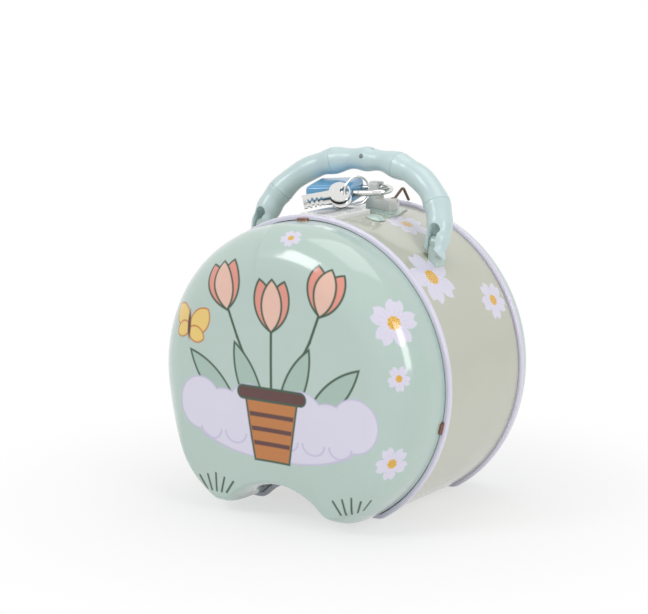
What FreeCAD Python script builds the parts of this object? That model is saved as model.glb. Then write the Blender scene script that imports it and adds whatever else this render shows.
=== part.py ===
import FreeCAD
import Part
import Sketcher
import math
import os
from FreeCAD import Placement, Rotation, Vector

doc = FreeCAD.newDocument("money_box")

# Sizes in millimetres and degrees, each written once
SIZES = [
    ("drum_radius", 75, "outer radius of the band"),
    ("foot_lift", 10.5, "lowest point of the circle to the foot flats"),
    ("arch_rise", 13.2, "foot flats to the top of the arch"),
    ("foot_outer_radius", 7, "outer corner of a foot"),
    ("foot_inner_radius", 6, "inner corner of a foot"),
    ("arch_radius", 42, "arch between the feet"),
    ("foot_keep", 0.7, "share of the dome edge round left off at the feet"),
    ("foot_zone_top", 10, "drum centre to where the feet start to fill out"),
    ("foot_zone", 45, "height over which the feet fill out"),
    ("foot_fade", 44, "inset over which the fuller feet fade into the face"),
    ("tin_gauge", 0.4, "sheet thickness"),
    ("band_depth", 67, "front rim to rear edge of the band"),
    ("bead_proud", 1.8, "rim height above the band"),
    ("bead_width", 3.2, "rim width"),
    ("bead_round", 1.2, "rounding of the rim"),
    ("front_wall", 11, "straight side of the front panel"),
    ("front_round_in", 22, "edge round of the front panel, inwards"),
    ("front_round_out", 20, "edge round of the front panel, forwards"),
    ("front_crown", 3, "extra rise to the middle of the front panel"),
    ("rear_wall", 5, "straight side of the rear cover"),
    ("rear_round_in", 17, "edge round of the rear cover, inwards"),
    ("rear_round_out", 12, "edge round of the rear cover, rearwards"),
    ("rear_crown", 2, "extra rise to the middle of the rear cover"),
    ("panel_step", 0.7, "front panel skirt below the band surface"),
    ("skirt_length", 4, "front panel skirt inside the band"),
    ("cover_gap", 0.5, "gap between the band and the rear cover"),
    ("liner_step", 0.8, "liner nose below the band surface"),
    ("liner_reach", 3, "liner nose beyond the band"),
    ("liner_seat", 12, "liner inside the band"),
    ("hinge_pin_radius", 0.6, "hinge wire"),
    ("hinge_out", 0.3, "hinge axis outside the band surface"),
    ("hinge_knuckle_radius", 1.4, "hinge knuckles"),
    ("hinge_half", 10, "half length of the hinge"),
    ("hinge_middle", 3.3, "half length of the middle knuckle"),
    ("hinge_end_gap", 0.3, "gap between knuckles"),
    ("hinge_clear", 0.4, "room round a knuckle"),
    ("running_fit", 0.05, "radial clearance of turning pins"),
    ("ear_spread", 50.8, "middle of an ear from the drum centre"),
    ("ear_forward", 4, "handle axis ahead of the middle of the band"),
    ("pivot_drop", 10.5, "handle axis below the top of the drum"),
    ("ear_thickness", 4.2, "ear across the drum"),
    ("ear_width", 8, "ear along the drum"),
    ("ear_gap", 0.35, "room beside an ear"),
    ("ear_flange", 14, "length and width of the flange inside"),
    ("ear_flange_gauge", 1.5, "flange thickness"),
    ("handle_rise", 38.6, "handle axis to the middle of the grip"),
    ("handle_lean", 27, "rest lean of the handle to the rear"),
    ("tube_radius", 6.1, "handle tube between knuckles"),
    ("tube_swell", 0.55, "added at a knuckle"),
    ("tube_end", 5.2, "handle tube at its ends"),
    ("line_depth", 0.3, "fine groove at a knuckle"),
    ("handle_pin_radius", 1.1, "handle pivot pin"),
    ("handle_pin_length", 8.8, "handle pivot pin"),
    ("relief_radius", 3, "round end of a fork slot"),
    ("relief_rise", 4.6, "round end above the axis"),
    ("bezel_width", 20, "coin slot frame across"),
    ("bezel_rise", 1.7, "coin slot frame above the band"),
    ("bezel_rear", 1, "rear end behind the middle of the band"),
    ("bezel_front_gap", 0.4, "gap to the front rim"),
    ("coin_width", 4.8, "coin slot"),
    ("coin_length", 27, "coin slot"),
    ("collar_wall", 1.1, "collar through the band"),
    ("collar_drop", 3.2, "collar below the band surface"),
    ("snap_out", 0.9, "snap edge of the collar"),
    ("fit_gap", 0.1, "slack of fixed parts in their holes"),
    ("slot_rivet_out", 16.5, "round-headed rivets from the middle"),
    ("slot_rivet_head", 4.8, "rivet head radius"),
    ("slot_rivet_rise", 1.5, "rivet head height"),
    ("rivet_shank", 1.5, "rivet shank radius"),
    ("rivet_foot", 3, "rivet foot radius inside"),
    ("plate_gauge", 0.5, "lock plate thickness"),
    ("plate_half", 19, "half width of the lock plate"),
    ("plate_front", 4.2, "front edge behind the middle of the band"),
    ("plate_straight", 9, "straight side of the plate"),
    ("plate_length", 20.5, "lock plate along the drum"),
    ("plate_rear_half", 14, "half width at its rear edge"),
    ("strip_gauge", 0.8, "strip inside the band"),
    ("post_right", 4, "lock post right of the middle"),
    ("post_behind", 15.5, "lock post behind the middle of the band"),
    ("post_width", 4.6, "lock post"),
    ("post_depth", 6.4, "lock post"),
    ("post_base_right", 13.6, "right end of the post base"),
    ("post_base_left", 0, "left end of the post base"),
    ("post_base_rise", 4.2, "base above the plate"),
    ("bore_rise", 10, "shackle bore above the top of the drum"),
    ("bore_gap", 0.35, "room round the shackle"),
    ("bore_wall", 1.2, "post above the bore"),
    ("rod_radius", 1.5, "shackle rod"),
    ("leg_spread", 13, "between the shackle legs"),
    ("bend_start", 2.6, "post middle to the shackle bend"),
    ("lock_turn", 14, "padlock turned in plan"),
    ("lock_tilt", 5, "near side of the padlock lower"),
    ("lock_slope", 4, "far end of the padlock lower"),
    ("case_start", 7.5, "post middle to the padlock case"),
    ("case_length", 23.4, "padlock case"),
    ("case_width", 22, "padlock case"),
    ("case_thick", 10, "padlock case"),
    ("case_round", 2.6, "padlock case edges"),
    ("long_leg", 15, "shackle leg that stays in the case"),
    ("short_leg", 5.5, "shackle leg that comes out"),
    ("leg_room", 1, "free depth below the short leg"),
    ("plug_radius", 3.2, "key plug"),
    ("plug_length", 10, "key plug"),
    ("key_slot", 1, "key slot width"),
    ("bolt_size", 2.4, "lock bolt"),
    ("spring_radius", 1.1, "coil radius of the small springs"),
    ("spring_wire", 0.25, "wire radius of the small springs"),
    ("ring_back", 0.8, "ring middle inside the near face of the case"),
    ("ring_slack", 3.1, "room of the key ring round the shackle leg"),
    ("ring_wire", 0.5, "key ring wire radius"),
    ("key_bow", 5.2, "key bow radius"),
    ("key_gauge", 1.1, "key thickness"),
    ("key_blade", 13, "key blade length beyond the bow"),
    ("key_blade_width", 3.2, "key blade width"),
    ("key_hole", 2.2, "hole in the key bow"),
    ("key_hole_out", 2.4, "hole from the middle of the bow"),
    ("hook_wire", 0.7, "latch hook wire radius"),
    ("hook_right", 10, "latch hook right of the middle"),
    ("hook_axis_behind", 21.6, "hook pivot behind the middle of the band"),
    ("hook_axis_rise", 3.2, "hook pivot above the top of the drum"),
    ("hook_eye", 1.7, "hook eye outer radius"),
    ("hook_pin_radius", 0.7, "hook pivot pin"),
    ("hook_peak_behind", 30.3, "bend of the hook behind the middle of the band"),
    ("hook_peak_rise", 9, "bend of the hook above the top of the drum"),
    ("hook_rest_gap", 0.3, "hook tip above the rear rim"),
    ("clip_width", 6, "panel stakes along the rim"),
    ("clip_length", 2.2, "panel stakes along the drum"),
    ("clip_rise", 1, "panel stakes above the panel"),
    ("clip_top", 4, "top stake left of the middle, in degrees"),
    ("clip_drop", 12.8, "side stakes below the drum centre, in degrees"),
]
sheet = doc.addObject("Spreadsheet::Sheet", "dims")
for row, (alias, value, note) in enumerate(SIZES, 1):
    sheet.set("A%d" % row, alias)
    sheet.set("B%d" % row, str(value))
    sheet.set("C%d" % row, note)
    sheet.setAlias("B%d" % row, alias)
doc.recompute()


def v(alias):
    return float(sheet.get(alias))


X = Vector(1, 0, 0)
Y = Vector(0, 1, 0)
Z = Vector(0, 0, 1)
LAST = 0.12
TIN = v("tin_gauge")
RAD = v("drum_radius")
PROUD = v("bead_proud")
FOOT = RAD - v("foot_lift")
CENTRE = FOOT + PROUD
FRONT_DEPTH = v("front_wall") + v("front_round_out") + v("front_crown") * (1 - LAST ** 2)
REAR_DEPTH = v("cover_gap") + v("rear_wall") + v("rear_round_out") + v("rear_crown") * (1 - LAST ** 2)
Y_FRONT = FRONT_DEPTH - (FRONT_DEPTH + v("band_depth") + REAR_DEPTH) / 2
Y_REAR = Y_FRONT + v("band_depth")
Y_MID = (Y_FRONT + Y_REAR) / 2
Y_COVER = Y_REAR + v("cover_gap")
nodes = {}


def feature(name, shape):
    obj = doc.addObject("Part::Feature", name)
    obj.Shape = shape
    return obj


def keep(name, obj):
    obj.Label = name
    nodes[name] = obj
    return obj


def at(x, behind, rise):
    return Vector(x, Y_MID + behind, CENTRE + rise)


def box(x0, y0, z0, x1, y1, z1):
    return Part.makeBox(x1 - x0, y1 - y0, z1 - z0, Vector(x0, y0, z0))


def top_of(x, radius):
    return math.sqrt(radius ** 2 - x ** 2)


# Outline of the drum: circle, two feet and the arch, as tangent arcs
# An inset outline shrinks towards the drum centre, and less so at the feet
def outline(off, inset, y):
    big, foot, arch = RAD, FOOT, FOOT - v("arch_rise")
    r_out, r_in, r_arch = v("foot_outer_radius"), v("foot_inner_radius"), v("arch_radius")
    z_out, z_in, z_arch = r_out - foot, r_in - foot, -(arch + r_arch)
    x_out = math.sqrt((big - r_out) ** 2 - z_out ** 2)
    x_in = math.sqrt((r_arch + r_in) ** 2 - (z_in - z_arch) ** 2)
    fade = min(1, (RAD * (1 - LAST) - inset) / v("foot_fade"))

    def place(x, z):
        low = min(1, max(0, (-v("foot_zone_top") - z) / v("foot_zone")))
        fuller = v("foot_keep") * fade * low * low * (3 - 2 * low)
        k = 1 - inset * (1 - fuller) / RAD
        return Vector(k * x, y, CENTRE + k * z)

    def edge(spot, steps):
        points = [place(*spot(i / steps)) for i in range(steps + 1)]
        if inset == 0:
            middle = place(*spot(0.5))
            if (middle - points[0]).cross(points[-1] - points[0]).Length < 1e-6:
                return Part.makeLine(points[0], points[-1])
            return Part.Arc(points[0], middle, points[-1]).toShape()
        near = 1e-4
        curve = Part.BSplineCurve()
        first = place(*spot(near)) - points[0]
        last = points[-1] - place(*spot(1 - near))
        curve.interpolate(Points=points, InitialTangent=first / near, FinalTangent=last / near)
        return curve.toShape()

    def arc(cx, cz, r, a0, a1, steps):
        def spot(t):
            angle = a0 + (a1 - a0) * t
            return cx + r * math.cos(angle), cz + r * math.sin(angle)
        return edge(spot, steps)

    def flat(x0, x1, z):
        return edge(lambda t: (x0 + (x1 - x0) * t, z), 2)

    down = -math.pi / 2
    a_out = math.atan2(z_out, x_out)
    a_in = math.atan2(z_arch - z_in, -x_in)
    a_arch = math.atan2(z_in - z_arch, x_in)
    sole = -(foot - off)
    edges = [arc(0, 0, big - off, math.pi / 2, a_out, 16)]
    edges.append(arc(x_out, z_out, r_out - off, a_out, down, 6))
    edges.append(flat(x_out, x_in, sole))
    edges.append(arc(x_in, z_in, r_in - off, down, a_in, 6))
    edges.append(arc(0, z_arch, r_arch + off, a_arch, math.pi - a_arch, 10))
    edges.append(arc(-x_in, z_in, r_in - off, -math.pi - a_in, down, 6))
    edges.append(flat(-x_in, -x_out, sole))
    edges.append(arc(-x_out, z_out, r_out - off, down, -math.pi - a_out, 6))
    edges.append(arc(0, 0, big - off, math.pi - a_out, math.pi / 2, 16))
    return Part.Wire(edges)


def prism(off, y0, y1):
    return Part.Face(outline(off, 0, y0)).extrude(Vector(0, y1 - y0, 0))


def sleeve(off_out, off_in, y0, y1):
    return prism(off_out, y0, y1).cut(prism(off_in, y0 - 1, y1 + 1))


def rolled_rim(y0):
    width = v("bead_width")
    ring = prism(-PROUD, y0, y0 + width)
    flat = [e for e in ring.Edges if e.BoundBox.YLength < 0.01]
    return ring.makeFillet(v("bead_round"), flat)


# Drawn domes: the outline shrinks along a wall, an edge round and a crowned face
def dome_solid(off, wall, inward, outward, crown, y_rim, way, start, skin):
    def section(inset, out, n_in, n_out):
        k = 1 - inset / RAD
        rise = out + crown * (1 - k * k)
        return outline(off + n_in * skin, inset, y_rim + way * (rise + n_out * skin))

    edge, face = [], []
    for turn in range(0, 91, 15):
        c, s = math.cos(math.radians(turn)), math.sin(math.radians(turn))
        length = math.hypot(outward * c, inward * s)
        edge.append(section(inward * (1 - c), wall + outward * s, outward * c / length, -inward * s / length))
    k_edge = 1 - inward / RAD
    for step in range(5):
        k = k_edge + (LAST - k_edge) * step / 4
        face.append(section(RAD * (1 - k), wall + outward, 0, -1))
    straight = Part.Face(edge[0]).extrude(Vector(0, way * (start - wall), 0))
    return straight.fuse([Part.makeLoft(edge, True), Part.makeLoft(face, True)])


def dome(off, wall, inward, outward, crown, y_rim, way, start):
    outer = dome_solid(off, wall, inward, outward, crown, y_rim, way, start, 0)
    inner = dome_solid(off, wall, inward, outward, crown, y_rim, way, start - 1, TIN)
    return outer, inner


# Hinge of the rear cover, on the left of the drum
HINGE = Vector(-(RAD + v("hinge_out")), Y_REAR + v("cover_gap") / 2, CENTRE)


def hinge_rod(radius, z0, z1):
    return Part.makeCylinder(radius, z1 - z0, HINGE + Z * z0)


half, middle, end_gap = v("hinge_half"), v("hinge_middle"), v("hinge_end_gap")
knuckle = v("hinge_knuckle_radius")
room = knuckle + v("hinge_clear")
wire_hole = v("hinge_pin_radius") + v("running_fit")

# Band with its rolled front rim
band = prism(0, Y_FRONT, Y_REAR).fuse(rolled_rim(Y_FRONT))
band = band.cut(prism(TIN, Y_FRONT - 1, Y_REAR + 1))
band = band.cut(hinge_rod(room, -middle - end_gap, middle + end_gap))
for low, high in ((middle + end_gap, half), (-half, -middle - end_gap)):
    band = band.fuse(hinge_rod(knuckle, low, high))
band = band.cut(hinge_rod(v("hinge_pin_radius"), -half - 1, half + 1))

# Coin slot frame: raised plate, collar through the band, snap edges inside
bezel_y0 = Y_FRONT + v("bead_width") + v("bezel_front_gap")
bezel_y1 = Y_MID + v("bezel_rear")
bezel_half = v("bezel_width") / 2
slot_mid = (bezel_y0 + bezel_y1) / 2
collar_x = v("coin_width") / 2 + v("collar_wall")
collar_y = v("coin_length") / 2 + v("collar_wall")
drum_out = Part.makeCylinder(RAD, 200, Vector(0, -100, CENTRE), Y)
drum_in = Part.makeCylinder(RAD - TIN, 200, Vector(0, -100, CENTRE), Y)
top = CENTRE + RAD
frame = box(-bezel_half, bezel_y0, top - 4, bezel_half, bezel_y1, top + v("bezel_rise"))
upper = [e for e in frame.Edges if e.BoundBox.ZMin > top and e.BoundBox.ZLength < 0.01]
frame = frame.makeChamfer(0.6, upper).cut(drum_out)
collar = box(-collar_x, slot_mid - collar_y, top - v("collar_drop"), collar_x, slot_mid + collar_y, top + 0.5)
snap = box(
    -collar_x - v("snap_out"), slot_mid - collar_y, top - v("collar_drop"), collar_x + v("snap_out"),
    slot_mid + collar_y, top - TIN - 0.25,
)
coin = box(
    -v("coin_width") / 2, slot_mid - v("coin_length") / 2, top - 8, v("coin_width") / 2,
    slot_mid + v("coin_length") / 2, top + 8,
)
keep("coin_slot_bezel", feature("bezel_form", frame.fuse([collar, snap]).cut(coin).removeSplitter()))
gap = v("fit_gap")
band = band.cut(box(-collar_x - gap, slot_mid - collar_y - gap, top - 6, collar_x + gap, slot_mid + collar_y + gap, top + 6))


# Rivets through the band, square to it
def rivet(x, behind, head, rise, lift, drop):
    angle = math.asin(x / RAD)
    shank, foot = v("rivet_shank"), v("rivet_foot")
    base = RAD + lift
    ball = (head ** 2 + rise ** 2) / (2 * rise)
    dome_head = Part.makeSphere(ball, Vector(0, 0, base + rise - ball))
    dome_head = dome_head.common(Part.makeCylinder(head, rise + 1, Vector(0, 0, base)))
    inside = RAD - TIN - drop
    stem = Part.makeCylinder(shank, base - inside + 0.5, Vector(0, 0, inside - 0.3))
    tail = Part.makeCylinder(foot, 0.8, Vector(0, 0, inside - 0.8))
    body = dome_head.fuse([stem, tail]).removeSplitter()
    body.Placement = Placement(at(0, behind, 0), Rotation(Y, math.degrees(angle))).multiply(body.Placement)
    return body


def rivet_hole(x, behind, extra):
    angle = math.asin(x / RAD)
    hole = Part.makeCylinder(v("rivet_shank") + extra, 8, Vector(0, 0, RAD - 5))
    hole.Placement = Placement(at(0, behind, 0), Rotation(Y, math.degrees(angle)))
    return hole


rivet_lift = 0.2
slot_rivets = []
for side in (-1, 1):
    x = side * v("slot_rivet_out")
    slot_rivets.append(rivet(x, -v("ear_forward"), v("slot_rivet_head"), v("slot_rivet_rise"), rivet_lift, 0.1))
    band = band.cut(rivet_hole(x, -v("ear_forward"), gap))
keep("slot_rivets", feature("slot_rivet_pair", Part.Compound(slot_rivets)))

# Lock plate on the band, strip inside, and the rivets through them
plate_y0 = Y_MID + v("plate_front")
plate_y1 = plate_y0 + v("plate_length")
corner_y = plate_y0 + v("plate_straight")
wide, narrow = v("plate_half"), v("plate_rear_half")
plan = [(-wide, plate_y0), (wide, plate_y0), (wide, corner_y), (narrow, plate_y1), (-narrow, plate_y1), (-wide, corner_y)]
plan_wire = Part.makePolygon([Vector(px, py, CENTRE) for px, py in plan + plan[:1]])
plan_prism = Part.Face(plan_wire).extrude(Z * (RAD + 20))
plate_low = RAD + 0.02
plate_top = plate_low + v("plate_gauge")
plate = Part.makeCylinder(plate_top, 200, Vector(0, -100, CENTRE), Y)
plate = plate.cut(Part.makeCylinder(plate_low, 200, Vector(0, -100, CENTRE), Y)).common(plan_prism)
strip_top = RAD - TIN - 0.02
strip = Part.makeCylinder(strip_top, 200, Vector(0, -100, CENTRE), Y)
strip = strip.cut(Part.makeCylinder(strip_top - v("strip_gauge"), 200, Vector(0, -100, CENTRE), Y))
strip = strip.common(box(-wide, plate_y0 + 2, CENTRE, wide, Y_REAR - v("liner_seat") - 0.6, top))
plate_rivets = []
for side in (-1, 1):
    x = side * (wide - 4)
    behind = v("plate_front") + v("plate_straight") / 2 + 1
    plate_rivets.append(rivet(x, behind, 2.4, 0.8, plate_top - RAD + 0.06, v("strip_gauge") + 0.08))
    hole = rivet_hole(x, behind, gap)
    band = band.cut(hole)
    plate = plate.cut(hole)
    strip = strip.cut(hole)
keep("plate_rivets", feature("plate_rivet_pair", Part.Compound(plate_rivets)))

# Padlock frame: bore middle, along the shackle, towards the near leg, and up
bore = at(v("post_right"), v("post_behind"), RAD + v("bore_rise"))
turn = Rotation(Z, v("lock_turn"))
slope = Rotation(Y, -v("lock_slope"))
tilt = Rotation(X, v("lock_tilt"))
lock_turned = turn.multiply(slope).multiply(tilt)
lock_place = Placement(bore, lock_turned)
rod = v("rod_radius")
spread = v("leg_spread")

# Lock post: base and upright with the shackle bore, ears for the hook pin, feet through the band
post_x, post_y = v("post_right"), Y_MID + v("post_behind")
base_top = CENTRE + plate_top + v("post_base_rise")
post_top = bore.z + rod + v("bore_gap") + v("bore_wall")
deep = v("post_depth") / 2
base = box(v("post_base_left"), post_y - deep, CENTRE + RAD - 5, v("post_base_right"), post_y + deep, base_top)
base = base.makeFillet(2.2, [e for e in base.Edges if e.BoundBox.XMin > v("post_base_right") - 0.1 and e.BoundBox.YLength > 1
                             and e.BoundBox.ZMin > CENTRE + RAD])
upright = box(
    post_x - v("post_width") / 2, post_y - deep, CENTRE + RAD, post_x + v("post_width") / 2, post_y + deep, post_top,
)
upright = upright.makeFillet(1.6, [e for e in upright.Edges if e.BoundBox.ZMin > post_top - 0.1 and e.BoundBox.XLength > 1])
hook_x, hook_y = v("hook_right"), Y_MID + v("hook_axis_behind")
hook_z = CENTRE + RAD + v("hook_axis_rise")
eye, hook_wire = v("hook_eye"), v("hook_wire")
ear_in, ear_out = hook_wire + 0.3, hook_wire + 1.8
hook_ears = []
for side in (-1, 1):
    x0, x1 = sorted((hook_x + side * ear_in, hook_x + side * ear_out))
    tab = box(x0, post_y + deep - 0.5, CENTRE + RAD - 4, x1, hook_y, hook_z + 1.4)
    tab = tab.fuse(box(x0, hook_y - 0.1, CENTRE + RAD - 4, x1, hook_y + 1.4, hook_z))
    hook_ears.append(tab.fuse(Part.makeCylinder(1.4, x1 - x0, Vector(x0, hook_y, hook_z), X)))
seat = Part.makeCylinder(plate_top + 0.02, 200, Vector(0, -100, CENTRE), Y)
post = base.fuse(hook_ears).cut(seat).fuse(upright.cut(seat))
pegs = []
for px in (v("post_base_left") + 2.2, v("post_base_right") - 2.6):
    pegs.append(Part.makeCylinder(1.3, 5, Vector(px, post_y, CENTRE + top_of(px, RAD) - 2.6)))
post = post.fuse(pegs)
bore_tool = Part.makeCylinder(rod + v("bore_gap"), 60, Vector(-30, 0, 0), X)
bore_tool.Placement = lock_place.multiply(bore_tool.Placement)
hook_pin_hole = Part.makeCylinder(v("hook_pin_radius"), 20, Vector(hook_x - 10, hook_y, hook_z), X)
post = post.cut(bore_tool.common(box(-60, post_y - 8, 0, 60, post_y + 8, 300))).cut(hook_pin_hole).removeSplitter()
keep("lock_post", feature("lock_post_form", post))
for peg in pegs:
    hole = Part.makeCylinder(1.3 + gap, 12, Vector(peg.BoundBox.Center.x, post_y, CENTRE + RAD - 9))
    band, plate, strip = band.cut(hole), plate.cut(hole), strip.cut(hole)
keep("lock_plate", feature("lock_plate_form", plate))
keep("backing_strip", feature("backing_strip_form", strip))

# Hook pin and the wire latch hook
hook_pin = doc.addObject("Part::Cylinder", "hook_pin_form")
hook_pin.setExpression("Radius", "dims.hook_pin_radius")
hook_pin.setExpression("Height", "2 * dims.hook_wire + 3.6")
hook_pin.Placement = Placement(Vector(hook_x - ear_out, hook_y, hook_z), Rotation(Z, X))
keep("hook_pin", hook_pin)
tip_y = Y_COVER + v("bead_width") / 2
tip_z = CENTRE + top_of(hook_x, RAD + PROUD) + v("hook_rest_gap") + hook_wire
peak = at(hook_x, v("hook_peak_behind"), RAD + v("hook_peak_rise"))
eye_mid = (eye + v("hook_pin_radius") + v("running_fit")) / 2
start = Vector(hook_x, hook_y + eye_mid * 0.7, hook_z + eye_mid * 0.7)
tip = Vector(hook_x, tip_y, tip_z)
to_start, to_tip = (start - peak).normalize(), (tip - peak).normalize()
opening = to_start.getAngle(to_tip) / 2
halfway = (to_start + to_tip).normalize()
bend_in = 2.0
cut_back = bend_in / math.tan(opening)
bend_mid = peak + halfway * (bend_in / math.sin(opening) - bend_in)
hook_line = [
    Part.makeLine(start, peak + to_start * cut_back),
    Part.Arc(peak + to_start * cut_back, bend_mid, peak + to_tip * cut_back).toShape(),
    Part.makeLine(peak + to_tip * cut_back, tip),
]
hook_ring = Part.Wire(Part.makeCircle(hook_wire, start, to_start * -1))
hook = Part.Wire(hook_line).makePipeShell([hook_ring], True, False)
hook = hook.fuse(Part.makeCylinder(eye, 2 * hook_wire, Vector(hook_x - hook_wire, hook_y, hook_z), X))
hook_bore = v("hook_pin_radius") + v("running_fit")
hook = hook.cut(Part.makeCylinder(hook_bore, 20, Vector(hook_x - 10, hook_y, hook_z), X)).removeSplitter()
keep("latch_hook", feature("latch_hook_form", hook))

# Front panel and its three stakes
shell, hollow = dome(
    v("panel_step"), v("front_wall"), v("front_round_in"), v("front_round_out"), v("front_crown"), Y_FRONT, -1,
    -v("skirt_length"),
)
panel = shell.cut(hollow)
clips = []
for angle in (90 + v("clip_top"), -v("clip_drop"), 180 + v("clip_drop")):
    turn_to = Rotation(Y, 90 - angle)
    half_clip = v("clip_width") / 2
    clip_z = RAD - v("panel_step") - 0.5
    clip_y0 = Y_FRONT - v("clip_length")
    block = box(-half_clip, clip_y0, clip_z, half_clip, Y_FRONT - 0.02, clip_z + 0.5 + v("clip_rise"))
    ends = [e for e in block.Edges if e.BoundBox.ZLength > 1 and e.BoundBox.YMax < clip_y0 + 0.1]
    block = block.makeFillet(v("clip_length") * 0.8, ends)
    block = block.cut(Part.makeCylinder(RAD - v("panel_step") + 0.02, 200, Vector(0, -100, 0), Y))
    block.Placement = Placement(Vector(0, 0, CENTRE), turn_to).multiply(block.Placement)
    clips.append(block)
keep("front_panel", feature("front_panel_form", panel))
keep("panel_clips", feature("panel_clip_set", Part.Compound(clips)))

# Rear cover with its rolled rim and middle knuckle
shell, hollow = dome(
    0, v("rear_wall"), v("rear_round_in"), v("rear_round_out"), v("rear_crown"), Y_COVER, 1, 0,
)
cover = shell.fuse(rolled_rim(Y_COVER)).cut(hollow)
for low, high in ((middle, half + end_gap), (-half - end_gap, -middle)):
    cover = cover.cut(hinge_rod(room, low, high))
cover = cover.fuse(hinge_rod(knuckle, -middle, middle)).cut(hinge_rod(wire_hole, -half, half))
keep("rear_cover", feature("rear_cover_form", cover))

# Liner: seat inside the band and a nose that centres the cover
nose = v("liner_step")
liner_y0 = Y_REAR - v("liner_seat")
liner = sleeve(TIN + 0.02, nose + 0.2, liner_y0, Y_REAR - 0.6)
liner = liner.fuse(sleeve(nose, nose + TIN, liner_y0, Y_REAR + v("liner_reach")))
liner = liner.cut(hinge_rod(room, -half - end_gap, half + end_gap)).removeSplitter()
keep("neck_liner", feature("neck_liner_form", liner))
hinge_pin = doc.addObject("Part::Cylinder", "hinge_pin_form")
hinge_pin.setExpression("Radius", "dims.hinge_pin_radius")
hinge_pin.setExpression("Height", "2 * dims.hinge_half")
hinge_pin.Placement = Placement(HINGE - Z * half, Rotation())
keep("hinge_pin", hinge_pin)

# Handle ears: tongue through the band, flange inside
axis_y, axis_z = Y_MID - v("ear_forward"), CENTRE + RAD - v("pivot_drop")
thick, wide_ear = v("ear_thickness"), v("ear_width")
flange, flange_gauge = v("ear_flange"), v("ear_flange_gauge")
pin_hole = v("handle_pin_radius") + v("running_fit")
for side, name in ((-1, "handle_ear_left"), (1, "handle_ear_right")):
    mid_x = side * v("ear_spread")
    x0 = mid_x - thick / 2
    low = CENTRE + top_of(v("ear_spread") + thick / 2, RAD) - 4
    tongue = box(x0, axis_y - wide_ear / 2, low, x0 + thick, axis_y + wide_ear / 2, axis_z - 1.5)
    narrow_top = 3.3
    crown = Part.makeCylinder(narrow_top, thick, Vector(x0, axis_y, axis_z), X)
    tongue = tongue.fuse(box(x0, axis_y - narrow_top, axis_z - 2, x0 + thick, axis_y + narrow_top, axis_z)).fuse(crown)
    plate_form = box(-flange / 2, -flange / 2, -flange_gauge, flange / 2, flange / 2, 0)
    lean_out = math.degrees(math.asin(mid_x / RAD))
    spot = Vector(0, axis_y, CENTRE)
    plate_form.Placement = Placement(spot, Rotation(Y, lean_out)).multiply(
        Placement(Vector(0, 0, RAD - TIN - 0.4), Rotation()))
    ear = tongue.fuse(plate_form).cut(Part.makeCylinder(pin_hole, 40, Vector(mid_x - 20, axis_y, axis_z), X))
    keep(name, feature(name + "_form", ear.removeSplitter()))
    slit = box(x0 - gap, axis_y - wide_ear / 2 - gap, low - 4, x0 + thick + gap, axis_y + wide_ear / 2 + gap, axis_z)
    band = band.cut(slit)
keep("drum_band", feature("drum_band_form", band.removeSplitter()))

# Handle: bowed tube with knuckles, fork slots and rounded ends, built upright about its axis
spread_x, rise = v("ear_spread"), v("handle_rise")
shape_x = (1.0, 1.0, 0.985, 0.9, 0.67, 0.368)
shape_h = (-0.23, 0.06, 0.22, 0.48, 0.78, 0.945)
guide = [Vector(spread_x * a, 0, rise * b) for a, b in zip(shape_x, shape_h)]
guide = guide + [Vector(0, 0, rise)] + [Vector(-p.x, 0, p.z) for p in reversed(guide)]
curve = Part.BSplineCurve()
curve.interpolate(guide)
p0, p1 = curve.FirstParameter, curve.LastParameter
total = curve.length(p0, p1)


def along(x):
    return curve.length(p0, curve.parameter(Vector(x[0] * spread_x, 0, x[1] * rise)))


knots = [along((0.9, 0.48)), along((0.368, 0.945))]
knots = knots + [total - s for s in reversed(knots)]
spots = [0, 4, 8, 12, 16]
spots = spots + [total - s for s in spots]
for k0, k1 in zip(knots, knots[1:]):
    spots.append((k0 + k1) / 2)
for k0 in knots:
    spots += [k0 - 3, k0, k0 + 3]
spots += [(knots[0] + 16) / 2, total - (knots[0] + 16) / 2]
rings = []
for s in sorted(spots):
    param = curve.parameterAtDistance(s, p0)
    where, way = curve.value(param), Vector(*curve.tangent(param)[0])
    end = min(s, total - s)
    near = min(abs(s - k0) for k0 in knots)
    radius = v("tube_radius") + v("tube_swell") * max(0, 1 - near / 8) ** 1.5
    if end < 16:
        radius = v("tube_end") + (radius - v("tube_end")) * end / 16
    side_way = way.cross(Y)
    turned = Rotation(Y, side_way, way, "ZXY")
    ring = Part.Wire(Part.makeCircle(radius))
    ring.Placement = Placement(where, turned)
    rings.append(ring)
bow = Part.makeLoft(rings, True)
for k0 in knots:
    param = curve.parameterAtDistance(k0, p0)
    where, way = curve.value(param), Vector(*curve.tangent(param)[0])
    bow = bow.cut(Part.makeTorus(v("tube_radius") + v("tube_swell"), v("line_depth"), where, way))
slot_half = thick / 2 + v("ear_gap")
for side in (-1, 1):
    mid_x = side * spread_x
    bow = bow.cut(box(mid_x - slot_half, -20, -20, mid_x + slot_half, 20, v("relief_rise")))
    relief = Part.makeCylinder(v("relief_radius"), 40, Vector(mid_x, -20, v("relief_rise")), Y)
    bow = bow.cut(relief)
    inner_r, outer_r = 4.3, 8.0
    cone = Part.makeCone(inner_r, outer_r, 12, Vector(side * (spread_x - 6), 0, 0), X * side)
    waste = box(mid_x - 12, -20, -20, mid_x + 12, 20, 0).cut(cone)
    bow = bow.cut(waste)
    pin_x = mid_x - v("handle_pin_length") / 2
    bow = bow.cut(Part.makeCylinder(v("handle_pin_radius"), v("handle_pin_length"), Vector(pin_x, 0, 0), X))
dimple = Part.makeCylinder(0.7, 4, Vector(3.5, 0, rise) + Vector(0, -0.55, 0.83) * (v("tube_radius") - 1.6), Vector(0, -0.55, 0.83))
bow = bow.cut(dimple)
handle_place = Placement(Vector(0, axis_y, axis_z), Rotation(X, -v("handle_lean")))
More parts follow.
